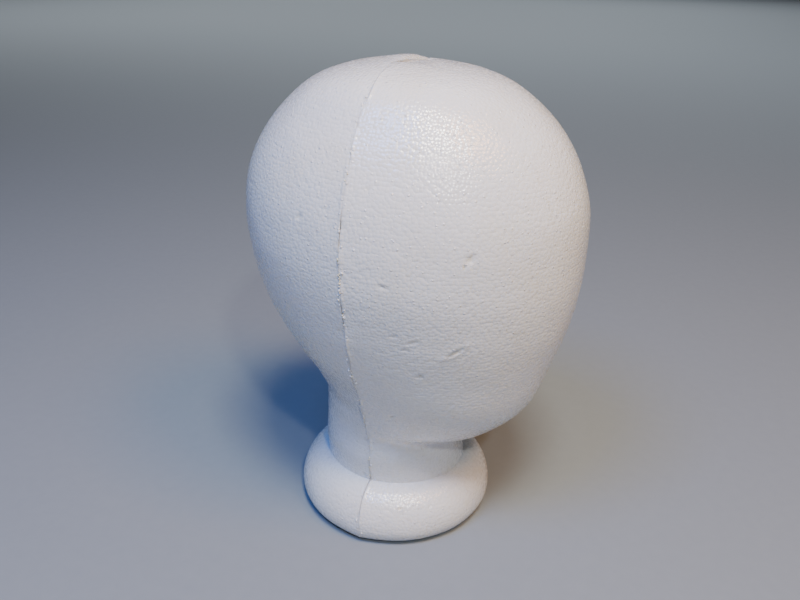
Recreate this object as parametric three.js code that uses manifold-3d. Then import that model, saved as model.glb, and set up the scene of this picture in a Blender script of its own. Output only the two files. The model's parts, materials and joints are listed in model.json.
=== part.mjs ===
// Faceless display head for a wig or a hat, moulded in expanded polystyrene.
// The head, its neck and its round foot are moulded as a front half and a back half, which a film
// of foam adhesive joins on the plane through the ears.
// Units are millimetres. +Z is up, the face end points along -Y, and the foot stands on Z = 0.

import * as THREE from 'three';
import { mergeVertices, toCreasedNormals } from 'three/addons/utils/BufferGeometryUtils.js';
import Module from 'manifold-3d';

const wasm = await Module();
wasm.setup();

// ---------------------------------------------------------------- driving dimensions

const HEIGHT = 263.5; // floor to crown
const FACE_REACH = 100.2; // foot axis to the foremost point of the face
const BACK_REACH = 85.5; // foot axis to the rearmost point of the head
const HALF_WIDTH = 79.2; // foot axis to the side of the head above the ear

const FOOT_RADIUS = 58;
const FOOT_HEIGHT = 31.7;
const FOOT_EQUATOR = 10.8; // height of the foot's widest ring
const BASE_RADIUS = 48.7; // flat face that stands on the table

const NECK_WAIST = 47; // height of the neck's middle

const JOINT_GAP = 1.0; // between the two halves, filled by the adhesive film
const FILM_THICKNESS = 0.4;
const FILM_INSET = 1.2; // the film stops this far inside the skin

// ---------------------------------------------------------------- mesh resolution

const SIDES = 64; // points round each ring
const FOOT_STEPS = 6; // rings on each of the foot's two rounds
const RAIL_STEPS = 3; // rings between two landmarks

// ---------------------------------------------------------------- outline of head and neck

// Each landmark is [distance out from the foot's axis, height]. The three outlines have matching
// landmarks, and one ring of the surface passes through each set of three.
const FRONT = [
  [42, FOOT_HEIGHT], // neck meets foot
  [40.5, NECK_WAIST],
  [44, 59.5], // throat
  [61.5, 64.5], // under the chin
  [79.5, 82], // chin
  [89.8, 110], // cheek
  [97.5, 139],
  [FACE_REACH, 169], // brow
  [97.5, 202], // forehead
  [80.5, 234],
  [48, 256.5],
];
const BACK = [
  [42.2, FOOT_HEIGHT],
  [41.5, NECK_WAIST],
  [40.8, 62], // nape
  [41.2, 77],
  [48, 93.5],
  [63, 115],
  [78, 143],
  [BACK_REACH, 179], // occiput
  [82.5, 209],
  [66.5, 236.5],
  [40.5, 256.5],
];
const SIDE = [
  [39.6, FOOT_HEIGHT],
  [42.4, NECK_WAIST],
  [42.6, 61.5],
  [47.5, 73.5], // corner of the jaw
  [56.5, 93],
  [65, 114], // ear
  [73.5, 140],
  [HALF_WIDTH, 172],
  [76, 206],
  [62.5, 236],
  [42, 257],
];

const AXIS_Y = (FACE_REACH - BACK_REACH) / 2; // puts the origin under the middle of the head

// ---------------------------------------------------------------- surface of the whole head

/** A smooth outline through the landmarks, which runs level over the crown. */
function outline(landmarks) {
  const [out, up] = landmarks.at(-1);
  const points = [...landmarks, [0, HEIGHT], [-out, up]].map((p) => new THREE.Vector2(...p));
  const curve = new THREE.SplineCurve(points);
  return (landmark) => curve.getPoint(landmark / (points.length - 1));
}

/** One closed ring, through a front, a back and a side point. Its height changes smoothly round it. */
function ring(front, back, side) {
  const middle = (back.x - front.x) / 2;
  const reach = (back.x + front.x) / 2;
  return Array.from({ length: SIDES }, (_, i) => {
    const angle = (2 * Math.PI * i) / SIDES;
    const [c, s] = [Math.cos(angle), Math.sin(angle)];
    const level = ((front.y + back.y) / 2) * c * c + ((front.y - back.y) / 2) * c + side.y * s * s;
    return [side.x * s, middle - reach * c, level];
  });
}

/** A ring of the foot that is round at share 0 and has the neck's section at share 1. */
function footRing(radius, height, share) {
  const blend = (neck) => new THREE.Vector2(THREE.MathUtils.lerp(radius, neck, share), height);
  return ring(blend(FRONT[0][0]), blend(BACK[0][0]), blend(SIDE[0][0]));
}

function footRings() {
  const rings = [];
  for (let i = 0; i <= FOOT_STEPS; i += 1) {
    const turn = ((Math.PI / 2) * i) / FOOT_STEPS;
    const radius = BASE_RADIUS + (FOOT_RADIUS - BASE_RADIUS) * Math.sin(turn);
    rings.push(footRing(radius, FOOT_EQUATOR * (1 - Math.cos(turn)), 0));
  }
  for (let i = 1; i < FOOT_STEPS; i += 1) {
    const turn = ((Math.PI / 2) * i) / FOOT_STEPS;
    const height = FOOT_EQUATOR + (FOOT_HEIGHT - FOOT_EQUATOR) * Math.sin(turn);
    rings.push(footRing(FOOT_RADIUS, height, 1 - Math.cos(turn)));
  }
  return rings;
}

function headRings() {
  const [front, back, side] = [FRONT, BACK, SIDE].map(outline);
  const crown = FRONT.length;
  const rings = [];
  for (let step = 0; step < crown * RAIL_STEPS; step += 1) {
    const landmark = step / RAIL_STEPS;
    rings.push(ring(front(landmark), back(landmark), side(landmark)));
  }
  return rings;
}

/** A closed solid through the rings, with a flat base and a point at the crown. */
function loft(rings, crownPoint) {
  const points = [...rings.flat(), [0, 0, 0], crownPoint];
  const [base, crown] = [points.length - 2, points.length - 1];
  const last = (rings.length - 1) * SIDES;
  const faces = [];
  for (let i = 0; i < SIDES; i += 1) {
    const next = (i + 1) % SIDES;
    faces.push([base, next, i], [crown, last + i, last + next]);
    for (let row = 0; row < last; row += SIDES) {
      faces.push([row + i, row + next, row + SIDES + next]);
      faces.push([row + i, row + SIDES + next, row + SIDES + i]);
    }
  }
  return new wasm.Manifold(
    new wasm.Mesh({
      numProp: 3,
      vertProperties: new Float32Array(points.flat()),
      triVerts: new Uint32Array(faces.flat()),
    }),
  );
}

// ---------------------------------------------------------------- the three pieces

const head = loft([...footRings(), ...headRings()], [0, 0, HEIGHT]);

const frontHalf = head.trimByPlane([0, -1, 0], JOINT_GAP / 2);
const backHalf = head.trimByPlane([0, 1, 0], JOINT_GAP / 2);

/** The film fills the joint's own outline, a little inside the skin. */
function adhesiveFilm() {
  const upright = new THREE.Vector3(90, 0, 0);
  const section = head.rotate(upright.clone().negate().toArray()).slice(0);
  const film = section.offset(-FILM_INSET, 'Round').extrude(FILM_THICKNESS, 0, 0, [1, 1], true);
  return film.rotate(upright.toArray());
}

// ---------------------------------------------------------------- scene

const EDGE_ANGLE = 0.6; // radians; a sharper edge than this is shaded as an edge

const foam = { color: 0xf3f4f2, roughness: 0.72, metalness: 0 };
const adhesive = { color: 0xe9e4d2, roughness: 0.4, metalness: 0 };

function piece(name, solid, look) {
  const { numProp, vertProperties, triVerts } = solid.getMesh();
  const geometry = new THREE.BufferGeometry();
  geometry.setAttribute('position', new THREE.BufferAttribute(vertProperties, numProp));
  geometry.setIndex(new THREE.BufferAttribute(triVerts, 1));
  const smooth = toCreasedNormals(mergeVertices(geometry), EDGE_ANGLE);
  const mesh = new THREE.Mesh(smooth, new THREE.MeshStandardMaterial(look));
  mesh.name = name;
  return mesh;
}

const displayHead = new THREE.Group();
displayHead.add(piece('front_half', frontHalf, foam));
displayHead.add(piece('back_half', backHalf, foam));
displayHead.add(piece('glue_line', adhesiveFilm(), adhesive));
displayHead.position.y = AXIS_Y;

export default displayHead;
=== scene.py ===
# %% [markdown]
# # A moulded polystyrene display head
# Shops and dressing-up boxes keep a wig or a hat on a light white head like this one. It is made
# of expanded polystyrene, the foam of small fused beads. Steam swells the beads in a mould until
# they press flat on each other, so the skin is a tiling of little domes. This head was moulded as
# a front half and a back half, and the two were glued on the plane through the ears.
#
# The lesson starts from the imported CAD model, the frame. The frame gives the parting plane and
# the body that carries every piece.

import json
import math

import bpy
import numpy as np
from mathutils import Matrix, Vector

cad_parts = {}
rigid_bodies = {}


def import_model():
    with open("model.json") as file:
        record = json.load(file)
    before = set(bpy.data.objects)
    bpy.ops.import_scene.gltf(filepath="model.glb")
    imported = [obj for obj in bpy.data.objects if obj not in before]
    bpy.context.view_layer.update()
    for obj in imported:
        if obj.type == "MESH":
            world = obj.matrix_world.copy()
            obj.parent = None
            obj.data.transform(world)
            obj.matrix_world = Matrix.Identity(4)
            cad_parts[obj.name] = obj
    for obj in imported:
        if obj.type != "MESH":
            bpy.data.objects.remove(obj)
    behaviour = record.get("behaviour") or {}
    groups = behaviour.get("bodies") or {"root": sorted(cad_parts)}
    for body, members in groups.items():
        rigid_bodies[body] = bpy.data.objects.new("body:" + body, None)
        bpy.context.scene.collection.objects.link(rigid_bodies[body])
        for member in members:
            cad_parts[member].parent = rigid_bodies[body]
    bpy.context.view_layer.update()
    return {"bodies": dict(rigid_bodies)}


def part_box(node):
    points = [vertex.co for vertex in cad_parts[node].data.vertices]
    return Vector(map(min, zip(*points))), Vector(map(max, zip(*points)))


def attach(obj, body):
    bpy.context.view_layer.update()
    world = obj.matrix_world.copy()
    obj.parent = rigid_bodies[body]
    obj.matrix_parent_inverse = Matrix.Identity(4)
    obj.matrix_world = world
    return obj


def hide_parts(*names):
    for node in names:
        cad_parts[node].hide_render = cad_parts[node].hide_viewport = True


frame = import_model()

# %% [markdown]
# ## Places that come from the frame
# The halves meet on an upright plane. It lies midway between the front half's rearmost face and
# the back half's foremost one, so it is read from their boxes. Sizes below are in millimetres,
# as a maker would write them, and one factor turns them to Blender's metres.

# %% Parting plane and body
MM = 0.001
BODY = sorted(frame["bodies"])[0]
front_box, back_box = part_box("front_half"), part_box("back_half")
PARTING_Y = (front_box[1].y + back_box[0].y) / 2
HEIGHT = 263.5  # mm, floor to crown
print("body:", BODY, " parting plane at y =", round(PARTING_Y / MM, 2), "mm")

# %% [markdown]
# ## The camera first
# The camera looks down on the head's right side from a little in front, from about half a metre
# away. Its place is given from the middle of the foot, and its aim is a turn, a dip and a slight
# lean. The matrix is built by hand from the right, up and back directions, because a lean is
# easier to read there than in Euler angles.

# %% Camera
CAMERA_PLACE = (-380.5, -143.4, 314.7)  # mm from the foot's axis at table height
CAMERA_TURN, CAMERA_DIP, CAMERA_LEAN = (math.radians(a) for a in (20.648, 24.43, 1.378))
LENS, SENSOR = 35.1, 36.0  # mm


def put_in_scene(name, data):
    """A new object with this data, linked to the scene."""
    made = bpy.data.objects.new(name, data)
    bpy.context.scene.collection.objects.link(made)
    return made


ahead = Vector(
    (
        math.cos(CAMERA_DIP) * math.cos(CAMERA_TURN),
        math.cos(CAMERA_DIP) * math.sin(CAMERA_TURN),
        -math.sin(CAMERA_DIP),
    )
)
level_right = Vector((math.sin(CAMERA_TURN), -math.cos(CAMERA_TURN), 0))
level_up = level_right.cross(ahead)
right = level_right * math.cos(CAMERA_LEAN) + level_up * math.sin(CAMERA_LEAN)
up = level_up * math.cos(CAMERA_LEAN) - level_right * math.sin(CAMERA_LEAN)

camera_data = bpy.data.cameras.new("camera")
camera_data.lens, camera_data.sensor_width = LENS, SENSOR
camera = put_in_scene("camera", camera_data)
stand = Vector(CAMERA_PLACE) * MM + Vector((0, PARTING_Y, 0))
turned = Matrix((right, up, -ahead)).transposed().to_4x4()
camera.matrix_world = Matrix.Translation(stand) @ turned
bpy.context.scene.camera = camera
print("camera at", [round(c, 3) for c in camera.matrix_world.translation])

# %% [markdown]
# ## Three outlines give the whole shape
# The head has no face, so three curves are enough: the front, the back and the side, each from
# the neck's root to the crown. Every landmark is (distance out from the foot's axis, height).
# The landmarks match from curve to curve, so one ring of the skin passes through each set of
# three. A Catmull-Rom spline through the landmarks gives the same surface as the CAD.

# %% Outline landmarks
FOOT_RADIUS, FOOT_HEIGHT, FOOT_EQUATOR, BASE_RADIUS = 58.0, 31.7, 10.8, 48.7  # mm
HEAD_SAMPLES, FOOT_SAMPLES = 3000, 400  # points along an outline, before they are spread evenly
FRONT = [
    (42, FOOT_HEIGHT), (40.5, 47), (44, 59.5), (61.5, 64.5), (79.5, 82), (89.8, 110),
    (97.5, 139), (100.2, 169), (97.5, 202), (80.5, 234), (48, 256.5),
]  # fmt: skip
BACK = [
    (42.2, FOOT_HEIGHT), (41.5, 47), (40.8, 62), (41.2, 77), (48, 93.5), (63, 115),
    (78, 143), (85.5, 179), (82.5, 209), (66.5, 236.5), (40.5, 256.5),
]  # fmt: skip
SIDE = [
    (39.6, FOOT_HEIGHT), (42.4, 47), (42.6, 61.5), (47.5, 73.5), (56.5, 93), (65, 114),
    (73.5, 140), (79.2, 172), (76, 206), (62.5, 236), (42, 257),
]  # fmt: skip


def outline(landmarks, stations):
    """Points at these landmark numbers on a smooth curve that runs level over the crown."""
    out, height = landmarks[-1]
    points = np.array([*landmarks, (0, HEIGHT), (-out, height)], float)
    first = np.clip(np.floor(stations).astype(int), 0, len(landmarks) - 1)
    w = (stations - first)[:, None]
    before, here, there, beyond = (points[np.maximum(first + k, 0)] for k in (-1, 0, 1, 2))
    leave, arrive = (there - before) / 2, (beyond - here) / 2
    cubic = 2 * here - 2 * there + leave + arrive
    square = -3 * here + 3 * there - 2 * leave - arrive
    return cubic * w**3 + square * w**2 + leave * w + here


def foot_rows(steps):
    """The foot's two rounds, as front, back and side points.

    The lower one is a true round, and the upper one runs into the neck's section.
    """
    turn = np.linspace(0, math.pi / 2, steps)
    radius = BASE_RADIUS + (FOOT_RADIUS - BASE_RADIUS) * np.sin(turn)
    low = np.stack([radius, FOOT_EQUATOR * (1 - np.cos(turn))], -1)
    height = FOOT_EQUATOR + (FOOT_HEIGHT - FOOT_EQUATOR) * np.sin(turn)
    high = [
        np.stack([FOOT_RADIUS + (rail[0][0] - FOOT_RADIUS) * (1 - np.cos(turn)), height], -1)
        for rail in (FRONT, BACK, SIDE)
    ]
    return np.concatenate([np.stack([low] * 3, 1), np.stack(high, 1)])


stations = np.linspace(0, len(FRONT), HEAD_SAMPLES)
head_rows = np.stack([outline(rail, stations) for rail in (FRONT, BACK, SIDE)], 1)
dense_rows = np.concatenate([foot_rows(FOOT_SAMPLES)[:-1], head_rows])
print("outline samples:", len(dense_rows))

# %% [markdown]
# ## Rows about a millimetre apart
# The skin is a grid of rows and columns. The dents and the ragged joint are a few millimetres
# long, so a grid near one millimetre can carry them as real shape. The rows are spread evenly
# along the outlines, and the columns crowd towards the joint, where the smallest shapes are.

# %% Rows and columns
ROW_STEP = 1.04  # mm
FINE_STEP, COARSE_STEP = 0.36, 1.12  # mm between columns, at the joint and far from it
STEP_GROWTH = 0.13  # of the distance from the joint
HALF_RING = 262.0  # mm of skin round a half at its widest


def spread_rows(rows, step):
    """The same outlines, at even steps of their mean length."""
    strides = np.linalg.norm(np.diff(rows, axis=0), axis=2).mean(1)
    length = np.concatenate([[0], np.cumsum(strides)])
    wanted = np.linspace(0, length[-1], int(round(length[-1] / step)) + 1)
    flat = rows.reshape(len(rows), -1)
    even = np.stack([np.interp(wanted, length, column) for column in flat.T], -1)
    return even.reshape(-1, 3, 2)


def spread_columns(length):
    """Shares from 0 to 1 along half a ring of this length, closest together at both ends."""
    places = [0.0]
    while places[-1] < length / 2:
        places.append(places[-1] + min(COARSE_STEP, FINE_STEP + STEP_GROWTH * places[-1]))
    half = np.array(places) / (2 * places[-1])
    return np.concatenate([half, 1 - half[-2::-1]])


outline_rows = spread_rows(dense_rows, ROW_STEP)
columns = spread_columns(HALF_RING)
print("rows:", len(outline_rows), " columns across a half:", len(columns))

# %% [markdown]
# ## One half as a stack of D-shaped loops
# Each loop is an arc of skin closed by a straight run across the parting face. Stacked from the
# middle of the foot's flat face up to the crown, the loops make a solid with no open edge. The
# ring's height changes smoothly on its way round, because the front, the back and the side
# reach the same landmark at different heights.

# %% Skin of a half
HALF_GAP = 0.03  # mm from the parting plane to each half's edge, where the joint is tight
BASE_SHARES = (0.02, 0.25, 0.5, 0.75, 0.93, 0.985)  # of its radius, for the flat base's rings


def skin_grid(half):
    """Points of one half's skin, rows by columns by xyz in mm, with y from the parting plane."""
    disc = np.array(BASE_SHARES)[:, None, None] * np.array([[[BASE_RADIUS, 0.0]] * 3])
    rows = np.concatenate([disc, outline_rows])
    reach_of_half = rows[:, 0 if half == "front" else 1, 0]
    rows = rows[reach_of_half > HALF_GAP * 1.5]
    front, back, side = rows[:, 0], rows[:, 1], rows[:, 2]
    middle, reach = (back[:, 0] - front[:, 0]) / 2, (back[:, 0] + front[:, 0]) / 2
    edge_sign = 1 if half == "front" else -1
    edge = np.arccos(np.clip((middle + edge_sign * HALF_GAP) / reach, -1, 1))
    start, sweep = (-edge, 2 * edge) if half == "front" else (edge, 2 * math.pi - 2 * edge)
    angle = start[:, None] + sweep[:, None] * columns[None, :]
    c, s = np.cos(angle), np.sin(angle)
    mean = ((front[:, 1] + back[:, 1]) / 2)[:, None]
    tip = ((front[:, 1] - back[:, 1]) / 2)[:, None]
    level = mean * c**2 + tip * c + side[:, 1][:, None] * s**2
    return np.stack([side[:, 0][:, None] * s, middle[:, None] - reach[:, None] * c, level], -1)


def outward(grid):
    """Unit normals of a grid of points, from the neighbours on both sides."""
    across, along = np.gradient(grid, axis=1), np.gradient(grid, axis=0)
    normal = np.cross(across, along)
    return normal / np.maximum(np.linalg.norm(normal, axis=2, keepdims=True), 1e-9)


front_skin, back_skin = skin_grid("front"), skin_grid("back")
print("front grid", front_skin.shape[:2], " back grid", back_skin.shape[:2])

# %% [markdown]
# ## Uneven edges along the joint
# Two foam halves never meet in a clean line. Beads tear off the edges and leave nicks, thin ribs
# of foam stand up where the mould halves closed, and the adhesive holds the edges a hair apart.
# The joint is described by its height on each side of the head, with one list for the cracks and
# nicks and one for the ribs. Between them, smooth random curves with fixed seeds keep the line
# from looking ruled.

# %% Joint lists and random curves
NICKS = [  # (lowest, highest, opening) in mm, on the head's right side
    (241.0, 250.0, 0.14), (239.8, 241.2, 0.75), (229.0, 230.2, 0.6), (225.1, 226.3, 0.6),
    (197.4, 201.4, 0.5), (189.8, 191.6, 0.8), (180.0, 188.5, 0.28), (172.4, 176.0, 0.5),
    (158.0, 159.4, 0.45), (154.8, 156.2, 0.45), (112.0, 113.6, 0.5), (103.2, 104.4, 0.3),
    (93.2, 94.6, 0.35), (33.4, 35.4, 0.45), (13.0, 30.0, 0.08),
]  # fmt: skip
RIBS = [  # (lowest, highest, height of the rib, which half it stands on)
    (251.0, 261.8, 0.55, "front"), (228.0, 239.0, 0.30, "front"), (202.0, 224.0, 0.22, "back"),
    (180.5, 188.0, 0.45, "front"), (162.0, 170.5, 0.45, "front"), (126.0, 141.5, 0.50, "front"),
    (112.4, 114.2, 0.80, "front"), (93.2, 95.6, 0.75, "front"), (76.0, 88.0, 0.35, "back"),
    (61.4, 63.6, 0.80, "front"), (55.6, 57.8, 0.80, "front"), (41.0, 50.0, 0.35, "front"),
    (12.0, 31.0, 0.25, "front"),
]  # fmt: skip
CURVE_TOP, CURVE_END, SPARE_KNOTS = 300, 290, 4  # mm drawn and mm used, and knots past the top
NO_TOP = 400  # mm, past the crown, for a range with no upper end


def random_curve(seed, step):
    """A smooth random curve of height, between about -1 and 1, that turns every step mm."""
    knots = np.random.RandomState(seed).uniform(-1, 1, int(CURVE_TOP / step) + SPARE_KNOTS)
    places = np.arange(len(knots)) * step

    def curve(height):
        t = np.clip(height, 0, CURVE_END) / step
        i = np.floor(t).astype(int)
        w = t - i
        w = w * w * (3 - 2 * w)
        return knots[i] * (1 - w) + knots[i + 1] * w

    print(f"random curve {seed}: {len(places)} knots, {step} mm apart")
    return curve


def soft_step(value):
    """0 well below nought, 1 well above it, and a smooth rise between."""
    return 1 / (1 + np.exp(-value))


def between(value, low, high, soft):
    """1 from low to high, and 0 a little way outside, with soft ends."""
    return soft_step((value - low) / soft) * soft_step((high - value) / soft)


# %% [markdown]
# ## Shaping the skin at the joint
# Six small moves make the joint. The whole line wanders by half a millimetre. The nicks are
# hollows in both edges, which they also draw apart a little. The ribs lift one edge. By turns one
# half stands a little above the other. The two meet at a slight ridge, because each shrank a
# little flat in its mould. And at the crown the front half drops while the back half stands
# proud, so a narrow strip of its cut edge shows above the front half. The random curves and the
# sizes of these moves come first.

# %% Sizes of the joint's moves
wander_right, wander_left = random_curve(11, 9.0), random_curve(12, 9.0)
open_right, open_left = random_curve(13, 3.1), random_curve(14, 3.1)
rib_right, rib_left = random_curve(15, 4.3), random_curve(16, 4.3)
step_right, step_left = random_curve(17, 14.0), random_curve(18, 14.0)

# Sizes in mm, all the way along
RIDGE, RIDGE_WIDTH = 1.4, 10.0  # rise of the skin towards the joint, and over what width
RIDGE_TOP, CROWN_RIDGE = 236, 0.35  # height where the ridge fades, and its share above that
WANDER, STEP = 0.55, 0.22  # most that the line strays, and that one half stands above the other
HAIRLINE, FAINT_RIB = 0.05, 0.16  # sizes of the nicks and ribs that aren't listed
BACK_RIB = 0.6  # share of a faint rib's height that the back half's ones have
LEFT_STRETCH, LEFT_LIMIT, LEFT_SIZE = 1.37, 0.55, 2.4  # where the left nicks are, and how large
NICK_DEPTH, GAP_SHARE = 0.55, 0.15  # shares of a nick's size that go into its hollow and its gap
RIB_AWAY, RIB_SPREAD = 0.7, 0.45  # a rib's distance from the joint, and its width squared
TORN_GAIN, TORN_REACH = 1.6, 1.2  # how torn a nick is, and how far from the joint
JOINT_TOP = 260.5  # height where the nicks, ribs and steps fade out

# Sizes in mm, at the crown
SWAY, SWAY_AT, SWAY_WIDTH = 1.6, -17, 6  # the line strays back here, at this x
BEND, BEND_FROM, BEND_TO = 1.3, 249, 258  # and forward below it, between these heights
CROWN_FROM = 225  # height where the moves below start
STRIP, FAR_END, SHOULDER, DIP_RUN = (-9, 34), (6, 33), (36, 66), (-50, -14)  # stretches of x
CROWN_DROP, FAR_DROP, CROWN_GAP = 2.4, 1.2, 0.8  # front half's edge, down and forward
CROWN_EDGE, FAR_EDGE, CROWN_RISE = 1.0, 1.3, 1.6  # back half's edge, down, and its rise behind
SHOULDER_RISE, CROWN_DIP = 1.5, 0.9  # front half past the strip, up, and back half before it, down
print("joint sizes set, crown step", CROWN_DROP + CROWN_RISE, "mm at most")

# %% [markdown]
# ## Moving the points
# Every move is a size times two soft windows. One says where along the joint it acts, and its
# last number is how softly it starts and ends. The other, exp(-off / reach), lets it fade over
# that reach in millimetres from the joint. Ridge, ribs, steps and hollows go along the skin's
# normal, the wander and the gaps go forward or back, and the moves at the crown go up or down.

# %% Joint shaping


def shape_joint(grid, half):
    """Moves the skin near the joint, and gives how torn each point is, from 0 to 1."""
    normal = outward(grid)
    x, y, z = (grid[..., k] for k in range(3))
    off = np.abs(y)
    is_front = half == "front"
    right_side = soft_step(-x / 1.5)  # 1 on the head's right side, 0 on its left
    below_crown = soft_step((JOINT_TOP - z) / 0.8)

    def sided(right_curve, left_curve):
        return right_curve(z) * right_side + left_curve(z) * (1 - right_side)

    opening = HAIRLINE * np.clip(sided(open_right, open_left), 0, 1) ** 2
    for low, high, width in NICKS:
        opening = opening + width * between(z, low, high, 0.35) * right_side
    left_nicks = np.clip(open_left(z * LEFT_STRETCH) - LEFT_LIMIT, 0, 1) * LEFT_SIZE
    opening = (opening + left_nicks * (1 - right_side)) * below_crown
    rib = FAINT_RIB * np.clip(sided(rib_right, rib_left), 0, 1) * (1 if is_front else BACK_RIB)
    for low, high, height, on_half in RIBS:
        if on_half == half:
            rib = rib + height * between(z, low, high, 0.5) * right_side
    step = STEP * sided(step_right, step_left) * (1 if is_front else -1)

    ridge_share = CROWN_RIDGE + (1 - CROWN_RIDGE) * between(z, 0, RIDGE_TOP, 8)
    rise = RIDGE * np.exp(-off / RIDGE_WIDTH) * ridge_share
    rise = rise + rib * below_crown * np.exp(-((off - RIB_AWAY) ** 2) / RIB_SPREAD)
    rise = rise + step * below_crown * np.exp(-off / 5)
    rise = rise - NICK_DEPTH * opening * np.exp(-off / (0.6 + 0.4 * opening))
    rise = rise * between(z, 1.0, NO_TOP, 0.25)
    moved = grid + normal * rise[..., None]

    side = -1 if is_front else 1
    wander = WANDER * sided(wander_right, wander_left) * np.exp(-off / 5)
    sway = np.exp(-(((x - SWAY_AT) / SWAY_WIDTH) ** 2)) * between(z, BEND_TO, NO_TOP, 1)
    wander = wander + SWAY * sway * np.exp(-off / 8)
    bend = between(z, BEND_FROM, BEND_TO, 1.5) * right_side
    wander = wander - BEND * bend * np.exp(-off / 6)
    moved[..., 1] += wander + side * GAP_SHARE * opening * np.exp(-off / 1.6)

    top = between(z, CROWN_FROM, NO_TOP, 3)
    low_strip, far_end = between(x, *STRIP, 2.5) * top, between(x, *FAR_END, 2.5) * top
    if is_front:
        moved[..., 2] -= (CROWN_DROP * low_strip + FAR_DROP * far_end) * np.exp(-off / 9)
        moved[..., 1] -= CROWN_GAP * low_strip * np.exp(-off / 2)
        moved[..., 2] += SHOULDER_RISE * between(x, *SHOULDER, 2.5) * top * np.exp(-off / 18)
    else:
        moved[..., 2] -= CROWN_DIP * between(x, *DIP_RUN, 3) * top * np.exp(-off / 6)
        moved[..., 2] -= (CROWN_EDGE * low_strip + FAR_EDGE * far_end) * np.exp(-off / 2)
        far_rise = between(x, 0, 45, 4) * top * (1 - np.exp(-off / 2.5)) * np.exp(-off / 10)
        moved[..., 2] += CROWN_RISE * far_rise
    # torn marks the nicks: rougher foam there, and a darker tone that is painted shade
    torn = np.clip(opening * TORN_GAIN, 0, 1) * np.exp(-off / TORN_REACH)
    return moved, torn


front_skin, front_torn = shape_joint(front_skin, "front")
back_skin, back_torn = shape_joint(back_skin, "back")
torn_share = round(float(front_torn.mean()), 4)
print("skin rises at the joint by up to", RIDGE, "mm; torn share", torn_share)

# %% [markdown]
# ## Knocks and nail marks
# Polystyrene dents at a touch and never recovers. Each mark is placed by its turn round the foot's
# axis, in degrees from the face towards the head's right, and by its height. It has a length, a
# width, a lean, a depth, and a rim, which is the foam that was pushed up beside it. A mark with a
# negative depth is a bead that stands out. A stretched bell curve is enough at this size.

# %% Marks on the skin
MARKS = [  # (turn, height, length, width, lean, depth, rim): degrees, mm, and rim's share of depth
    (48.6, 187.2, 2.6, 1.3, 50, 1.05, 0.1), (50.2, 184, 1, 1, 0, 1.12, 0.45),
    (107.6, 198.6, 1.8, 1, 20, 0.83, 0.2), (75.5, 172.6, 3.4, 0.8, -8, 0.6, 0.3),
    (81.1, 215.8, 1.6, 1, 30, 0.52, 0.1), (61, 122.2, 1.1, 0.9, 0, 1.27, 0.1),
    (72.5, 88, 1.1, 0.8, 0, 0.9, 0.1), (50.6, 138.2, 4.6, 0.9, 38, 0.9, 0.5),
    (65, 144, 3.6, 0.8, 15, 0.52, 0.3), (67.4, 139.2, 3.8, 0.7, -12, 0.45, 0.3),
    (71, 146.4, 2, 0.7, 10, 0.52, 0.2), (27, 224.4, 6.5, 0.6, -70, 0.33, 0.1),
    (22.4, 211, 13, 0.6, -75, 0.3, 0.1), (66.2, 24.8, 1, 0.9, 0, 1.35, 0.4),
    (54.2, 5.7, 1.9, 1.3, 0, 1.35, 0.2), (96.3, 36.3, 1.3, 1, 0, 0.9, 0),
    (48, 24, 2.6, 0.6, 60, 0.52, 0.2), (163, 201, 2.4, 1.2, 30, 0.75, 0.2),
    (196, 152, 3.8, 0.8, -35, 0.52, 0.3), (224, 221, 1.4, 1.2, 0, 0.9, 0.3),
    (247, 118, 1.3, 1.1, 0, 1.05, 0.1), (291, 186, 4.4, 0.8, 55, 0.6, 0.3),
    (318, 141, 1.2, 1, 0, 1.05, 0.3), (337, 203, 2, 1, 20, 0.68, 0.2),
    (182, 22, 1.5, 1.1, 0, 0.9, 0.3), (262, 16, 2, 0.9, 10, 0.75, 0.2),
    (76.1, 118.4, 0.8, 0.7, 0, -0.35, 0), (120.1, 62.4, 0.9, 0.8, 0, -0.35, 0),
    (136.4, 31.4, 0.8, 0.8, 0, -0.3, 0), (69.8, 71.5, 0.8, 0.7, 0, -0.3, 0),
    (68.6, 139.9, 0.8, 0.7, 0, -0.3, 0), (154.1, 26.2, 0.9, 0.7, 0, -0.3, 0),
    (95, 184, 0.8, 0.7, 0, -0.3, 0), (83, 185.6, 0.8, 0.7, 0, -0.3, 0),
    (82, 154, 0.8, 0.7, 0, -0.35, 0),
]  # fmt: skip
MARK_CATCH = 4  # degrees plus mm: a mark farther than this from every point is on the other half
LIP_AT, LIP_WIDTH = 1.5, 0.45  # the pushed-up rim, in shares of the mark's own size


def press_marks(grid, torn):
    """Presses every mark that lies on this grid into it."""
    normal = outward(grid)
    turn = np.degrees(np.arctan2(-grid[..., 0], -grid[..., 1])) % 360
    pressed = grid.copy()
    for mark_turn, height, length, width, lean, depth, rim in MARKS:
        away = np.abs((turn - mark_turn + 180) % 360 - 180) + np.abs(grid[..., 2] - height)
        away[grid[..., 2] < 0.5] = np.inf  # the flat base takes no marks
        i, j = np.unravel_index(np.argmin(away), away.shape)
        if away[i, j] > MARK_CATCH:
            continue
        n = normal[i, j]
        level = np.cross(n, (0, 0, 1))
        level /= np.linalg.norm(level)
        rising = np.cross(level, n)
        a = math.radians(lean)
        offset = grid - grid[i, j]
        along = offset @ (math.sin(a) * rising - math.cos(a) * level)
        across = offset @ (math.sin(a) * level + math.cos(a) * rising)
        reach = np.sqrt((along / length) ** 2 + (across / width) ** 2)
        hollow = -depth * np.exp(-(reach**2))
        lip = rim * depth * np.exp(-(((reach - LIP_AT) / LIP_WIDTH) ** 2))
        pressed += n * (hollow + lip)[..., None]
        # a dent's hollow is marked torn: rougher, with a darker tone that is painted shade
        if depth > 0:
            torn = np.maximum(torn, np.exp(-(reach**2)) * min(depth, 1))
    return pressed, torn


front_skin, front_torn = press_marks(front_skin, front_torn)
back_skin, back_torn = press_marks(back_skin, back_torn)
print("marks pressed:", len(MARKS))

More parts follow.
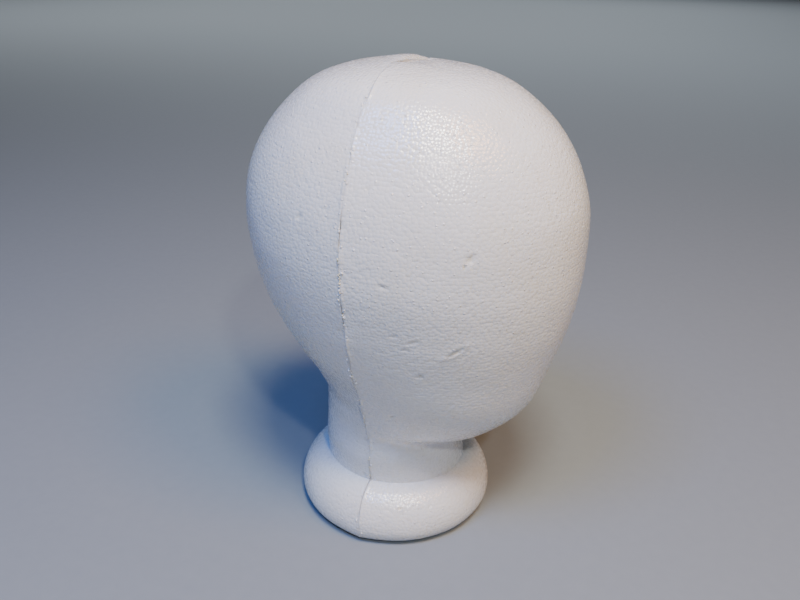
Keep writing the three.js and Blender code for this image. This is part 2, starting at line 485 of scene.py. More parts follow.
# %% [markdown]
# ## The neck's collar
# On the back half the neck is a short column that stands a millimetre proud, with a clear edge
# where the nape comes down to it. It fades out towards the joint.

# %% Collar at the nape
COLLAR_FOOT, COLLAR_TOP, NAPE_BAND = 42, 76.5, (1, 9)  # mm of height, and mm above the collar
COLLAR_RISE, NAPE_SINK, COLLAR_FADE = 0.9, 0.8, 14  # mm, and mm of fading towards the joint


def shape_collar(grid):
    """Lifts the neck's column and sinks the nape just above it, away from the joint."""
    away_from_joint = 1 - np.exp(-np.maximum(grid[..., 1], 0) / COLLAR_FADE)
    column = between(grid[..., 2], COLLAR_FOOT, COLLAR_TOP, 1.2)
    nape = between(grid[..., 2], COLLAR_TOP + NAPE_BAND[0], COLLAR_TOP + NAPE_BAND[1], 1.6)
    rise = (COLLAR_RISE * column - NAPE_SINK * nape) * away_from_joint
    return grid + outward(grid) * rise[..., None]


back_skin = shape_collar(back_skin)
print("collar edge at", COLLAR_TOP, "mm")

# %% [markdown]
# ## Closing each half
# The straight run of every loop goes just inside the parting plane. Near the skin it curves out
# to the torn edge, and farther in it lies half a millimetre back, which leaves room for the film
# of adhesive. The first and last loops shrink to single points, so the solid is closed there with
# fans of triangles. The volume is printed as a check: a mesh that is inside out gives a minus.

# %% Solid halves
FACE_GAP = 0.5  # mm from the parting plane to the parting face, inside the head
FACE_CURVE, FACE_TORN = 0.8, 0.3  # mm over which the face curves to the edge, and how torn it is
FACE_SHARES = np.array([0.004, 0.011, 0.03, 0.12, 0.32, 0.5, 0.68, 0.88, 0.97, 0.989, 0.996])
M3_TO_LITRES = 1000


def grid_faces(rows, around):
    """Quads of a grid that closes on itself, with one point below and one above it."""
    row, here = np.meshgrid(np.arange(rows - 1) * around, np.arange(around), indexing="ij")
    there = (here + 1) % around
    over = row + around
    quads = np.stack([row + here, row + there, over + there, over + here], -1)
    below, above = rows * around, rows * around + 1
    last = (rows - 1) * around
    pairs = [(a, (a + 1) % around) for a in range(around)]
    fans = [(below, b, a) for a, b in pairs] + [(above, last + a, last + b) for a, b in pairs]
    return quads.reshape(-1, 4).tolist() + fans


def signed_volume(mesh):
    """Volume in litres, from the mesh's triangles."""
    mesh.calc_loop_triangles()
    corners = np.empty(len(mesh.vertices) * 3)
    mesh.vertices.foreach_get("co", corners)
    triangles = np.empty(len(mesh.loop_triangles) * 3, int)
    mesh.loop_triangles.foreach_get("vertices", triangles)
    a, b, c = corners.reshape(-1, 3)[triangles.reshape(-1, 3)].transpose(1, 0, 2)
    return float(np.einsum("ij,ij->i", a, np.cross(b, c)).sum() / 6 * M3_TO_LITRES)


def solid_half(name, skin, torn, half):
    """A mesh object of one half: its skin, its parting face and its flat base."""
    side = -1 if half == "front" else 1
    start, end = skin[:, -1], skin[:, 0]
    share = FACE_SHARES[None, :, None]
    face = start[:, None] * (1 - share) + end[:, None] * share
    chord = np.abs(start[:, 0] - end[:, 0])[:, None]
    depth = np.minimum(FACE_SHARES, 1 - FACE_SHARES)[None, :] * chord
    fade = np.exp(-depth / FACE_CURVE)
    face[..., 1] = face[..., 1] * fade + side * FACE_GAP * (1 - fade)
    grid = np.concatenate([skin, face], 1)
    rows, around = grid.shape[:2]
    below = np.array([0, side * HALF_GAP, 0.0])
    above = grid[-1].mean(0)
    points = np.concatenate([grid.reshape(-1, 3), [below, above]]) * MM
    points[:, 1] += PARTING_Y
    points[:, 2] = np.maximum(points[:, 2], 0)
    mesh = bpy.data.meshes.new(name)
    mesh.from_pydata(points, [], grid_faces(rows, around))
    above_base = between(skin[..., 2], 1.0, NO_TOP, 0.2)
    for label, on_skin, on_face in (("skin", above_base, 0.0), ("torn", torn, FACE_TORN)):
        values = np.concatenate([on_skin, np.full(face.shape[:2], on_face)], 1)
        values = np.concatenate([values.ravel(), [0, 1]]).astype(np.float32)
        mesh.attributes.new(label, "FLOAT", "POINT").data.foreach_set("value", values)
    mesh.update()
    made = put_in_scene(name, mesh)
    print(name, "quads:", len(mesh.polygons), " litres:", round(signed_volume(mesh), 3))
    return made


front_half = solid_half("moulded_front_half", front_skin, front_torn, "front")
back_half = solid_half("moulded_back_half", back_skin, back_torn, "back")

# %% [markdown]
# ## One way to add a node
# Shader and geometry trees are built the same way: make a node, set its options, then give each
# input either a value or a link. One function does that for every node in this file. A second one
# starts a material: an empty tree that reads the piece's own coordinates, so a pattern stays put
# on its piece.

# %% Node and colour helpers


def add(tree, kind, inputs=None, **settings):
    """Adds a node. An input is given by name or number, with a value or another node's output."""
    made = tree.nodes.new(kind)
    for option, value in settings.items():
        setattr(made, option, value)
    for socket, value in (inputs or {}).items():
        if isinstance(value, bpy.types.NodeSocket):
            tree.links.new(value, made.inputs[socket])
        else:
            made.inputs[socket].default_value = value
    return made


def linear(hex_colour):
    """An sRGB hex colour as linear RGBA."""
    parts = [int(hex_colour[k : k + 2], 16) / 255 for k in (1, 3, 5)]
    return (*[p / 12.92 if p <= 0.04045 else ((p + 0.055) / 1.055) ** 2.4 for p in parts], 1.0)


def start_material(name):
    """A new material, its empty node tree and the coordinates that its patterns read."""
    made = bpy.data.materials.new(name)
    made.use_nodes = True
    made.node_tree.nodes.clear()
    place = add(made.node_tree, "ShaderNodeTexCoord").outputs["Object"]
    return made, made.node_tree, place


print("white foam in linear RGB:", [round(c, 3) for c in linear("#F2F3F2")[:3]])

# %% [markdown]
# ## Expanded polystyrene, steam moulded
# The material is a closed-cell foam of clear polystyrene. Light scatters at every cell wall, so
# it looks white with soft shading, a little lighter at thin edges. The mould pressed the outer
# beads into a satin skin: each bead catches a small highlight on its dome, and the fine grooves
# between beads are matt, with painted shade that greys them slightly. Where beads have torn away,
# the foam is rougher.
#
# Beads for such mouldings swell to about 2 mm across. A Voronoi pattern is the right tool, because
# it is what equal swelling spheres make when they fill space, and the skin cuts through it. Its
# distance output, squared and turned over, is a dome with a sharp crease at every border.

# %% Foam patterns
BEAD, BEAD_RANDOMNESS = 1.85, 0.65  # mm from bead to bead, and how unevenly they are packed
BEAD_BUMP, PROUD_BUMP, GRAIN_BUMP = 0.27, 0.3, 0.05  # mm
PROUD_SPACING, PROUD_RADIUS = 3.2, 0.7  # mm, for the few small beads that stand out of the skin
GRAIN, PATCH = 0.9, 34  # mm, the fine grain in each bead and the slightly yellowed patches
PER_METRE = 1000  # a pattern's scale is this over its step in mm

foam, tree, place = start_material("steam_moulded_expanded_polystyrene")
beads = add(
    tree, "ShaderNodeTexVoronoi",
    {"Vector": place, "Scale": PER_METRE / BEAD, "Randomness": BEAD_RANDOMNESS},
)  # fmt: skip
spread = add(tree, "ShaderNodeMath", {0: beads.outputs["Distance"], 1: 2.0}, operation="POWER")
dome = add(tree, "ShaderNodeMath", {0: 1.0, 1: spread.outputs[0]}, operation="SUBTRACT")
grain = add(
    tree, "ShaderNodeTexNoise",
    {"Vector": place, "Scale": PER_METRE / GRAIN, "Detail": 3.0},
)  # fmt: skip
patches = add(
    tree, "ShaderNodeTexNoise",
    {"Vector": place, "Scale": PER_METRE / PATCH, "Detail": 2.0},
)  # fmt: skip
torn = add(tree, "ShaderNodeAttribute", attribute_name="torn")
bead_tone = add(tree, "ShaderNodeSeparateColor", {"Color": beads.outputs["Color"]})

# groove is 0 at a bead's middle and 1 at its border: it greys the grooves as painted shade, and
# makes them matt
groove = add(
    tree, "ShaderNodeMapRange",
    {"Value": spread.outputs[0], "From Min": 0.12, "From Max": 0.55},
)  # fmt: skip
print("foam patterns:", len(tree.nodes), "nodes, beads", BEAD, "mm")

# %% [markdown]
# ## Foam colour
# New foam is a cool white. No two beads are quite the same white, the grooves between them are
# painted a little darker as shade, and broad patches have yellowed with age. Torn foam is creamier
# than the skin, and in the hollows of dents and nicks its darker tone is painted shade.

# %% Foam colour
tone = add(
    tree, "ShaderNodeMapRange",
    {"Value": bead_tone.outputs[0], "To Max": 0.22},
)  # fmt: skip
# painted shade in the grooves between beads, plus each bead's own random tone
shade = add(
    tree, "ShaderNodeMath",
    {0: groove.outputs[0], 1: 0.2, 2: tone.outputs[0]}, operation="MULTIPLY_ADD",
)  # fmt: skip
white_and_groove_shade = add(
    tree, "ShaderNodeMix",
    {"Factor": shade.outputs[0], "A": linear("#F4F5F5"), "B": linear("#DFE1E1")}, data_type="RGBA",
)  # fmt: skip
aged = add(
    tree, "ShaderNodeMapRange",
    {"Value": patches.outputs[0], "From Min": 0.52, "From Max": 0.75, "To Max": 0.45},
)  # fmt: skip
yellowed = add(
    tree, "ShaderNodeMix",
    {"Factor": aged.outputs[0], "A": white_and_groove_shade.outputs["Result"], "B": linear("#EFEBE0")},
    data_type="RGBA",
)  # fmt: skip
# Torn foam is creamier; in the hollows of dents and nicks this darker tone is painted shade.
torn_tint_and_pit_shade = add(
    tree, "ShaderNodeMix",
    {"Factor": torn.outputs["Fac"], "A": yellowed.outputs["Result"], "B": linear("#E8E6DD")},
    data_type="RGBA",
)  # fmt: skip

print("foam colour:", len(tree.nodes), "nodes")

# %% [markdown]
# ## Foam gloss and bumps
# The pressed skin is satin, some beads smoother than others, with matt grooves and rough tears. A
# few beads stand proud of the rest, and a second, sparse pattern raises them as smooth bumps. A
# thin glossy coat takes its normals from the domes and these bumps, which gives small sharp
# glints. Light goes a couple of millimetres into foam, so the shader scatters it under the skin.

# %% Foam gloss and bumps
satin = add(
    tree, "ShaderNodeMapRange",
    {"Value": bead_tone.outputs[1], "To Min": 0.11, "To Max": 0.2},
)  # fmt: skip
matt_grooves = add(
    tree, "ShaderNodeMath",
    {0: groove.outputs[0], 1: 0.3, 2: satin.outputs[0]}, operation="MULTIPLY_ADD",
)  # fmt: skip
rough = add(
    tree, "ShaderNodeMix",
    {"Factor": torn.outputs["Fac"], 2: matt_grooves.outputs[0], 3: 0.85}, data_type="FLOAT",
)  # fmt: skip

bead_bump = add(
    tree, "ShaderNodeBump",
    {"Height": dome.outputs[0], "Strength": 1.0, "Distance": BEAD_BUMP * MM},
)  # fmt: skip
proud = add(
    tree, "ShaderNodeTexVoronoi",
    {"Vector": place, "Scale": PER_METRE / PROUD_SPACING, "Randomness": 1.0},
)  # fmt: skip
proud_share = PROUD_RADIUS / PROUD_SPACING
proud_dome = add(
    tree, "ShaderNodeMapRange",
    {"Value": proud.outputs["Distance"], "From Max": proud_share, "To Min": 1.0, "To Max": 0.0},
    interpolation_type="SMOOTHSTEP",
)  # fmt: skip
proud_bump = add(
    tree, "ShaderNodeBump",
    {
        "Height": proud_dome.outputs[0],
        "Strength": 1.0,
        "Distance": PROUD_BUMP * MM,
        "Normal": bead_bump.outputs["Normal"],
    },
)  # fmt: skip
fine_bump = add(
    tree, "ShaderNodeBump",
    {
        "Height": grain.outputs[0],
        "Strength": 0.5,
        "Distance": GRAIN_BUMP * MM,
        "Normal": proud_bump.outputs["Normal"],
    },
)  # fmt: skip
shader = add(
    tree, "ShaderNodeBsdfPrincipled",
    {
        "Base Color": torn_tint_and_pit_shade.outputs["Result"],
        "Roughness": rough.outputs[0],
        "IOR": 1.52,
        "Subsurface Weight": 0.35,
        "Subsurface Radius": (1.0, 0.98, 0.95),
        "Subsurface Scale": 2.2 * MM,
        "Coat Weight": 0.6,
        "Coat Roughness": 0.1,
        "Coat IOR": 1.5,
        "Coat Normal": proud_bump.outputs["Normal"],
        "Normal": fine_bump.outputs["Normal"],
    },
)  # fmt: skip
add(tree, "ShaderNodeOutputMaterial", {"Surface": shader.outputs[0]})
print("foam nodes:", len(tree.nodes))

# %% [markdown]
# ## Foam adhesive
# The glue is a clear solvent-free adhesive that dries slightly yellow. It wets into a smooth skin
# with a stronger shine than the foam, and small bubbles in it scatter light.

# %% Adhesive material
BUBBLE, RIPPLE_BUMP = 1.2, 0.1  # mm
adhesive, tree, place = start_material("dried_foam_adhesive")
bubbles = add(
    tree, "ShaderNodeTexNoise",
    {"Vector": place, "Scale": PER_METRE / BUBBLE, "Detail": 3.0},
)  # fmt: skip
tint = add(
    tree, "ShaderNodeMix",
    {"Factor": bubbles.outputs[0], "A": linear("#F2EEDC"), "B": linear("#D9D2B4")},
    data_type="RGBA",
)  # fmt: skip
ripple = add(
    tree, "ShaderNodeBump",
    {"Height": bubbles.outputs[0], "Strength": 0.6, "Distance": RIPPLE_BUMP * MM},
)  # fmt: skip
shader = add(
    tree, "ShaderNodeBsdfPrincipled",
    {
        "Base Color": tint.outputs["Result"],
        "Roughness": 0.22,
        "IOR": 1.46,
        "Subsurface Weight": 0.4,
        "Subsurface Radius": (1.0, 0.9, 0.7),
        "Subsurface Scale": 1.0 * MM,
        "Normal": ripple.outputs["Normal"],
    },
)  # fmt: skip
add(tree, "ShaderNodeOutputMaterial", {"Surface": shader.outputs[0]})
print("adhesive nodes:", len(tree.nodes))

# %% [markdown]
# ## Bead relief with Geometry Nodes
# The beads cover the whole skin and follow one rule, so a node tree lifts them out of the smooth
# surface. It reads the same Voronoi pattern as the foam material, at the same scale and in the
# same coordinates, so shape and shade fall in the same places. The mesh is too coarse for whole
# domes, so their lift is only a trace here, and the material's bump makes the rest. A slow noise
# adds the shallow sinks that a moulding gets as it cools. The attribute that marks the skin keeps
# the relief off the parting faces and the flat base.

# %% Relief tree
BEAD_HEIGHT, SINK_SIZE, SINK_DEPTH = 0.04, 26, 0.7  # mm
MEAN_SPREAD = 0.3  # of the squared distance, so the relief's mean lift is near nought


def start_tree(name, kinds):
    """A new geometry tree with these named inputs, and the identifier of each input."""
    made = bpy.data.node_groups.new(name, "GeometryNodeTree")
    identifiers = {}
    for label, kind in kinds.items():
        socket = made.interface.new_socket(label, in_out="INPUT", socket_type="NodeSocket" + kind)
        identifiers[label] = socket.identifier
    made.interface.new_socket("Geometry", in_out="OUTPUT", socket_type="NodeSocketGeometry")
    return made, identifiers


relief_kinds = dict.fromkeys(("Bead Size", "Bead Height", "Sink Size", "Sink Depth"), "Float")
relief, relief_inputs = start_tree(
    "polystyrene_bead_relief", {"Geometry": "Geometry", **relief_kinds}
)
given = add(relief, "NodeGroupInput").outputs
where = add(relief, "GeometryNodeInputPosition").outputs[0]
bead_scale = add(relief, "ShaderNodeMath", {0: 1.0, 1: given["Bead Size"]}, operation="DIVIDE")
sink_scale = add(relief, "ShaderNodeMath", {0: 1.0, 1: given["Sink Size"]}, operation="DIVIDE")
cells = add(
    relief, "ShaderNodeTexVoronoi",
    {"Vector": where, "Scale": bead_scale.outputs[0], "Randomness": BEAD_RANDOMNESS},
)  # fmt: skip
spread = add(relief, "ShaderNodeMath", {0: cells.outputs["Distance"], 1: 2.0}, operation="POWER")
dome = add(relief, "ShaderNodeMath", {0: MEAN_SPREAD, 1: spread.outputs[0]}, operation="SUBTRACT")
bead_lift = add(
    relief, "ShaderNodeMath",
    {0: dome.outputs[0], 1: given["Bead Height"]}, operation="MULTIPLY",
)  # fmt: skip
slow = add(
    relief, "ShaderNodeTexNoise",
    {"Vector": where, "Scale": sink_scale.outputs[0], "Detail": 1.0},
)  # fmt: skip
centred = add(relief, "ShaderNodeMath", {0: slow.outputs[0], 1: 0.5}, operation="SUBTRACT")
lift = add(
    relief, "ShaderNodeMath",
    {0: centred.outputs[0], 1: given["Sink Depth"], 2: bead_lift.outputs[0]},
    operation="MULTIPLY_ADD",
)  # fmt: skip
mask = add(relief, "GeometryNodeInputNamedAttribute", {"Name": "skin"}, data_type="FLOAT")
masked = add(
    relief, "ShaderNodeMath",
    {0: lift.outputs[0], 1: mask.outputs[0]}, operation="MULTIPLY",
)  # fmt: skip
facing = add(relief, "GeometryNodeInputNormal").outputs[0]
offset = add(
    relief, "ShaderNodeVectorMath",
    {0: facing, "Scale": masked.outputs[0]}, operation="SCALE",
)  # fmt: skip
lifted = add(
    relief, "GeometryNodeSetPosition",
    {"Geometry": given["Geometry"], "Offset": offset.outputs[0]},
)  # fmt: skip
whole = add(relief, "GeometryNodeRealizeInstances", {0: lifted.outputs[0]})
coloured = add(relief, "GeometryNodeSetMaterial", {"Geometry": whole.outputs[0], "Material": foam})
add(relief, "NodeGroupOutput", {0: coloured.outputs[0]})
print("relief nodes:", len(relief.nodes))

# %% [markdown]
# ## From a live tree to a plain mesh
# The tree's inputs are set by their identifiers before the object is first evaluated, the
# result is copied to a new mesh, and the modifier is removed. Edges sharper than 50 degrees are
# marked, so the torn joint stays crisp while the domes stay smooth.

# %% Apply a tree
SHARP = math.radians(50)


def apply_tree(obj, group, identifiers, values):
    """Runs a geometry tree on obj with these input values, and leaves only the plain result."""
    modifier = obj.modifiers.new(group.name, "NODES")
    modifier.node_group = group
    for label, value in values.items():
        modifier[identifiers[label]] = value
    evaluated = obj.evaluated_get(bpy.context.evaluated_depsgraph_get())
    made = bpy.data.meshes.new_from_object(evaluated)
    obj.modifiers.remove(modifier)
    obj.data = made
    made.name = obj.name
    made.polygons.foreach_set("use_smooth", [True] * len(made.polygons))
    made.set_sharp_from_angle(angle=SHARP)
    print(obj.name, "faces after", group.name, ":", len(made.polygons))


relief_sizes = {
    "Bead Size": BEAD * MM,
    "Bead Height": BEAD_HEIGHT * MM,
    "Sink Size": SINK_SIZE * MM,
    "Sink Depth": SINK_DEPTH * MM,
}
for half in (front_half, back_half):
    apply_tree(half, relief, relief_inputs, relief_sizes)

# %% [markdown]
# ## The adhesive film
# Between the halves lies a thin uneven film. Its edge stays a fraction of a millimetre inside the
# skin, nearer to it in some places than in others, and its top ends under the step at the crown.
# The film follows the joint's own outline, so it is built from the same rows, moved in along the
# outline's normal by a random amount with a fixed seed.

# %% Film
FILM_HALF, FILM_EDGE = 0.2, 0.15  # mm, half its thickness and its rounded edge
FILM_FOOT, FILM_TOP = 1.2, 258.6  # mm above the table, and under the step at the crown
FILM_INSET, FILM_UNEVEN = 0.35, 0.25  # mm from the outline to the film's edge, more or less
LEAST_RISE = 0.02  # mm from one loop to the next; the rows in the flat base rise less
film_right, film_left = random_curve(21, 2.6), random_curve(22, 2.6)


def joint_outline(rows):
    """The head's outline on the parting plane, on its left side, as x and height."""
    front, back, side = rows[:, 0], rows[:, 1], rows[:, 2]
    middle, reach = (back[:, 0] - front[:, 0]) / 2, (back[:, 0] + front[:, 0]) / 2
    c = np.clip(middle / np.maximum(reach, 1e-6), -1, 1)
    s = np.sqrt(1 - c**2)
    level = (front[:, 1] + back[:, 1]) / 2 * c**2 + (front[:, 1] - back[:, 1]) / 2 * c
    return np.stack([side[:, 0] * s, level + side[:, 1] * s**2], -1)


def film_rail(curve, sign):
    """One edge of the film, from the foot up to the crown."""
    rail = joint_outline(outline_rows)
    rail = rail[rail[:, 1] < FILM_TOP]
    slope = np.gradient(rail, axis=0)
    slope /= np.linalg.norm(slope, axis=1, keepdims=True)
    inward = np.stack([-slope[:, 1], slope[:, 0]], -1)
    inset = FILM_INSET + FILM_UNEVEN * curve(rail[:, 1])
    rail = rail + inward * inset[:, None]
    return np.stack([sign * rail[:, 0], np.maximum(rail[:, 1], FILM_FOOT)], -1)


left_rail, right_rail = film_rail(film_left, 1), film_rail(film_right, -1)
loops = []
for (x1, z1), (x2, z2) in zip(left_rail, right_rail):
    loops.append(
        [
            (x1, -FILM_HALF, z1), (x1 + FILM_EDGE, 0, z1), (x1, FILM_HALF, z1),
            (x2, FILM_HALF, z2), (x2 - FILM_EDGE, 0, z2), (x2, -FILM_HALF, z2),
        ]
    )  # fmt: skip
loops = np.array(loops)
loops = loops[np.concatenate([[True], np.diff(loops[:, 0, 2]) > LEAST_RISE])]
points = np.concatenate([loops.reshape(-1, 3), [loops[0].mean(0), loops[-1].mean(0)]]) * MM
points[:, 1] += PARTING_Y
mesh = bpy.data.meshes.new("adhesive_film")
mesh.from_pydata(points, [], grid_faces(len(loops), 6))
mesh.update()
mesh.materials.append(adhesive)
film = put_in_scene("adhesive_film", mesh)
print("film rows:", len(loops), " litres:", round(signed_volume(mesh), 4))

# %% [markdown]
# ## Squeezed-out glue and loose beads
# Along the joint, glue has pressed out in small drops and single beads have torn half free. Both
# repeat along a path, so one tree serves them: it walks the path at an even spacing, keeps a
# random share of the stops, and puts a small ball there, sunk into the skin. The path carries one
# attribute, the chance of a ball at each place.

# %% Scatter tree, stops
scatter_kinds = dict.fromkeys(("Spacing", "Ball Size", "Side Scatter"), "Float")
scatter, scatter_inputs = start_tree(
    "balls_along_the_joint",
    {"Geometry": "Geometry", **scatter_kinds, "Seed": "Int", "Material": "Material"},
)
given = add(scatter, "NodeGroupInput").outputs
path = add(scatter, "GeometryNodeMeshToCurve", {"Mesh": given["Geometry"]})
stops = add(
    scatter, "GeometryNodeResampleCurve",
    {"Curve": path.outputs[0], "Length": given["Spacing"]}, mode="LENGTH",
)  # fmt: skip
likely = add(scatter, "GeometryNodeInputNamedAttribute", {"Name": "likely"}, data_type="FLOAT")
draw = add(scatter, "FunctionNodeRandomValue", {"Seed": given["Seed"]}, data_type="FLOAT")
kept = add(
    scatter, "FunctionNodeCompare",
    {"A": draw.outputs["Value"], "B": likely.outputs[0]},
    data_type="FLOAT", operation="LESS_THAN",
)  # fmt: skip
reseed = add(scatter, "ShaderNodeMath", {0: given["Seed"], 1: 7.0}, operation="ADD")
size = add(
    scatter, "FunctionNodeRandomValue",
    {"Min": 0.55, "Max": 1.0, "Seed": reseed.outputs[0]}, data_type="FLOAT",
)  # fmt: skip
ball_size = add(
    scatter, "ShaderNodeMath",
    {0: size.outputs["Value"], 1: given["Ball Size"]}, operation="MULTIPLY",
)  # fmt: skip
print("scatter stops and sizes:", len(scatter.nodes), "nodes")

# %% [markdown]
# ## Placing the balls
# Each ball is a low icosphere, turned and stretched at random so that no two look alike, and
# moved a little to one side of the joint. Instances are made real at the end, because the export
# only takes real faces.

# %% Scatter tree, balls
FULL_TURN = 6.28  # radians
ball = add(scatter, "GeometryNodeMeshIcoSphere", {"Radius": 0.5, "Subdivisions": 2})
turn = add(
    scatter, "FunctionNodeRandomValue",
    {"Max": (FULL_TURN,) * 3, "Seed": given["Seed"]}, data_type="FLOAT_VECTOR",
)  # fmt: skip
stretch = add(
    scatter, "FunctionNodeRandomValue",
    {"Min": (0.7, 0.8, 0.6), "Max": (1.3, 1.1, 0.9), "Seed": reseed.outputs[0]},
    data_type="FLOAT_VECTOR",
)  # fmt: skip
ball_scale = add(
    scatter, "ShaderNodeVectorMath",
    {0: stretch.outputs["Value"], "Scale": ball_size.outputs[0]}, operation="SCALE",
)  # fmt: skip
placed = add(
    scatter, "GeometryNodeInstanceOnPoints",
    {
        "Points": stops.outputs[0],
        "Selection": kept.outputs[0],
        "Instance": ball.outputs[0],
        "Rotation": turn.outputs["Value"],
        "Scale": ball_scale.outputs[0],
    },
)  # fmt: skip
aside = add(
    scatter, "FunctionNodeRandomValue",
    {"Min": -1.0, "Max": 1.0, "Seed": given["Seed"]}, data_type="FLOAT",
)  # fmt: skip
aside_by = add(
    scatter, "ShaderNodeMath",
    {0: aside.outputs["Value"], 1: given["Side Scatter"]}, operation="MULTIPLY",
)  # fmt: skip
aside_vector = add(scatter, "ShaderNodeCombineXYZ", {"Y": aside_by.outputs[0]})
shifted = add(
    scatter, "GeometryNodeTranslateInstances",
    {"Instances": placed.outputs[0], "Translation": aside_vector.outputs[0], "Local Space": False},
)  # fmt: skip
whole = add(scatter, "GeometryNodeRealizeInstances", {0: shifted.outputs[0]})
coloured = add(
    scatter, "GeometryNodeSetMaterial",
    {"Geometry": whole.outputs[0], "Material": given["Material"]},
)  # fmt: skip
add(scatter, "NodeGroupOutput", {0: coloured.outputs[0]})
print("scatter nodes:", len(scatter.nodes))

# %% [markdown]
# ## The path along the joint
# The path runs up both sides of the head, from the foot to just under the crown. It lies midway
# between the edges of the two shaped skins, so the balls sit on the joint wherever it was moved.
# Glue shows in a few clumps, and torn beads show around the larger nicks.

# %% Drops and crumbs
GLUE_PLACES = [  # (lowest, highest, share of the stops that hold a drop), on the right side
    (171.8, 176.6, 0.95), (182.0, 187.0, 0.30), (133.4, 135.6, 0.8), (112.2, 114.4, 0.9),
    (93.4, 95.4, 0.9), (61.6, 63.6, 0.9), (55.8, 57.8, 0.9), (34.0, 38.0, 0.5), (163.0, 168.0, 0.3),
]  # fmt: skip
CRUMB_PLACES = [  # the same, for torn beads
    (226.0, 232.0, 0.25), (196.0, 203.0, 0.30), (176.0, 192.0, 0.35), (154.0, 171.0, 0.30),
    (109.0, 118.0, 0.60), (90.0, 98.0, 0.40), (54.0, 66.0, 0.35), (240.0, 262.0, 0.20),
]  # fmt: skip
PATH_FOOT, PATH_TOP = 4, 258  # mm of height


def joint_path(name, places, elsewhere, lift):
    """Points along the joint, lift mm off the skin, with the chance of a ball at each."""
    rows = min(len(front_skin), len(back_skin))
    right_edge = (front_skin[:rows, 0] + back_skin[:rows, -1]) / 2
    left_edge = (front_skin[:rows, -1] + back_skin[:rows, 0]) / 2
    usable = (right_edge[:, 2] > PATH_FOOT) & (right_edge[:, 2] < PATH_TOP)
    line = np.concatenate([right_edge[usable], left_edge[usable][::-1]])
    right = np.arange(len(line)) < usable.sum()
    line[:, 0] += np.where(right, -lift, lift)
    chance = np.full(len(line), elsewhere)
    for low, high, share in places:
        chance = np.maximum(chance, share * between(line[:, 2], low, high, 0.4) * right)
    points = line * MM
    points[:, 1] += PARTING_Y
    edges = [(k, k + 1) for k in range(len(points) - 1) if k + 1 != usable.sum()]
    mesh = bpy.data.meshes.new(name)
    mesh.from_pydata(points, edges, [])
    layer = mesh.attributes.new("likely", "FLOAT", "POINT")
    layer.data.foreach_set("value", chance.astype(np.float32))
    return put_in_scene(name, mesh)


drops = joint_path("squeezed_out_drops", GLUE_PLACES, elsewhere=0.04, lift=0.05)
crumbs = joint_path("torn_loose_beads", CRUMB_PLACES, elsewhere=0.06, lift=-0.1)
for piece, spacing, ball_mm, scatter_mm, seed, material in (
    (drops, 0.8, 1.3, 0.35, 5, adhesive),
    (crumbs, 0.9, 1.5, 1.6, 9, foam),
):
    sizes = {"Spacing": spacing * MM, "Ball Size": ball_mm * MM, "Side Scatter": scatter_mm * MM}
    apply_tree(piece, scatter, scatter_inputs, {**sizes, "Seed": seed, "Material": material})

# %% [markdown]
# ## Every piece rides on the body
# The head has no joints, so one body carries all its pieces. Each moulded half stands for its CAD
# half, and the film stands for the CAD film.

# %% Ride and replace
for piece, slot_name, node in (
    (front_half, "foam", "front_half"),
    (back_half, "foam", "back_half"),
    (film, "adhesive", "glue_line"),
    (drops, "adhesive", None),
    (crumbs, "foam", None),
):
    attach(piece, BODY)
    if node:
        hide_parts(node)

# %% [markdown]
# ## The floor
# The floor is a wide plain sheet of pale grey paper, matt, with a faint mottle of fibres.

# %% Floor
FLOOR_HALF = 9.0  # metres
FIBRE = 8  # mm
corners = [(x * FLOOR_HALF, y * FLOOR_HALF, 0) for x, y in ((-1, -1), (1, -1), (1, 1), (-1, 1))]
floor_mesh = bpy.data.meshes.new("floor")
floor_mesh.from_pydata(corners, [], [(0, 1, 2, 3)])
floor = put_in_scene("floor", floor_mesh)
paper, tree, place = start_material("pale_matt_paper")
fibres = add(
    tree, "ShaderNodeTexNoise",
    {"Vector": place, "Scale": PER_METRE / FIBRE, "Detail": 3.0},
)  # fmt: skip
tint = add(
    tree, "ShaderNodeMix",
    {"Factor": fibres.outputs[0], "A": linear("#868F97"), "B": linear("#8B949C")},
    data_type="RGBA",
)  # fmt: skip
sheet = {"Base Color": tint.outputs["Result"], "Roughness": 0.9}
shader = add(tree, "ShaderNodeBsdfPrincipled", sheet)
add(tree, "ShaderNodeOutputMaterial", {"Surface": shader.outputs[0]})
floor_mesh.materials.append(paper)
print("floor:", 2 * FLOOR_HALF, "m square")

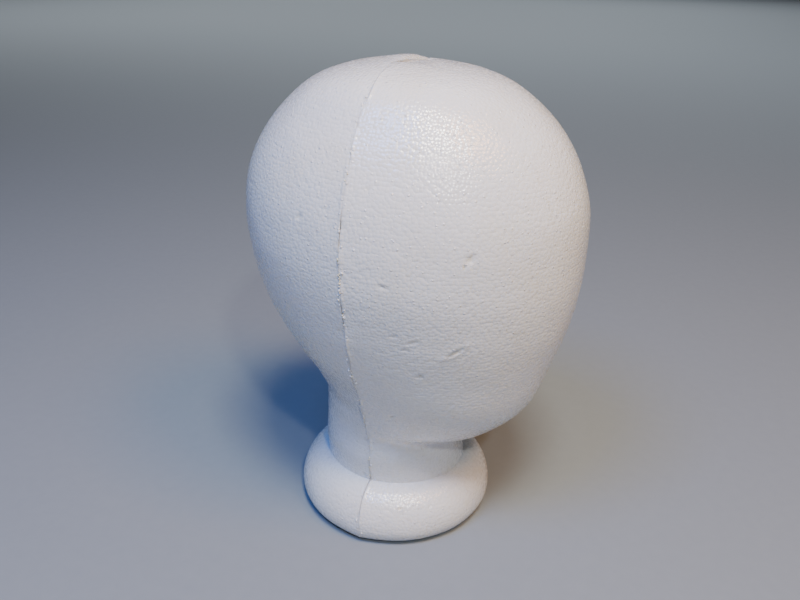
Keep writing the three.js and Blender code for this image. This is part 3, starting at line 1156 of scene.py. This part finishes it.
# %% [markdown]
# ## Four softboxes and a wash
# Plain white foam takes its colour from the light, and each side of the head is lit differently.
# A warm box stands on the face's side, a cool one on the nape's side, and a broad neutral one
# hangs high between them. The key is small, because only a small lamp gives the beads sharp
# glints. One very large lamp shines straight down behind the head and keeps the far floor pale.
# The world is a dim even grey.

# %% Lights
AIM = Vector((0, PARTING_Y, 0.16))
BOX_AWAY = 1.1  # metres from the aim
BOXES = (  # name, turn from +X towards +Y and lift in degrees, size in metres, watts, linear RGB
    ("warm_side", 250, 56, 0.32, 6.8, (1.0, 0.46, 0.11)),
    ("key", 213, 40, 0.06, 3.6, (1.0, 0.97, 0.93)),
    ("overhead", 211, 64, 0.26, 12.6, (0.98, 0.92, 0.80)),
    ("cool_side", 164, 58, 0.35, 8.4, (0.07, 0.29, 1.0)),
)
WASH_SIZE, WASH_WATTS, WASH_SPREAD = 5.0, 78, math.radians(80)
WASH_PLACE = (3.7, 1.4, 2.6)  # metres


def square_light(name, size, watts):
    """A square area light at the origin, which points straight down."""
    data = bpy.data.lights.new(name, "AREA")
    data.shape, data.size, data.energy = "SQUARE", size, watts
    return put_in_scene(name, data)


for name, turn, lift, size, watts, colour in BOXES:
    lamp = square_light(name, size, watts)
    lamp.data.color = colour
    a, e = math.radians(turn), math.radians(lift)
    way = Vector((math.cos(e) * math.cos(a), math.cos(e) * math.sin(a), math.sin(e)))
    towards = way.to_track_quat("Z", "Y").to_matrix().to_4x4()
    lamp.matrix_world = Matrix.Translation(AIM + way * BOX_AWAY) @ towards
    print(name, "at", [round(c, 2) for c in lamp.matrix_world.translation])

wash = square_light("floor_wash", WASH_SIZE, WASH_WATTS)
wash.data.spread = WASH_SPREAD
wash.location = WASH_PLACE

world = bpy.data.worlds.new("studio")
bpy.context.scene.world = world
world.use_nodes = True
world.node_tree.nodes.clear()
dim_grey = {"Color": linear("#B9BCC0"), "Strength": 0.07}
surround = add(world.node_tree, "ShaderNodeBackground", dim_grey)
add(world.node_tree, "ShaderNodeOutputWorld", {"Surface": surround.outputs[0]})
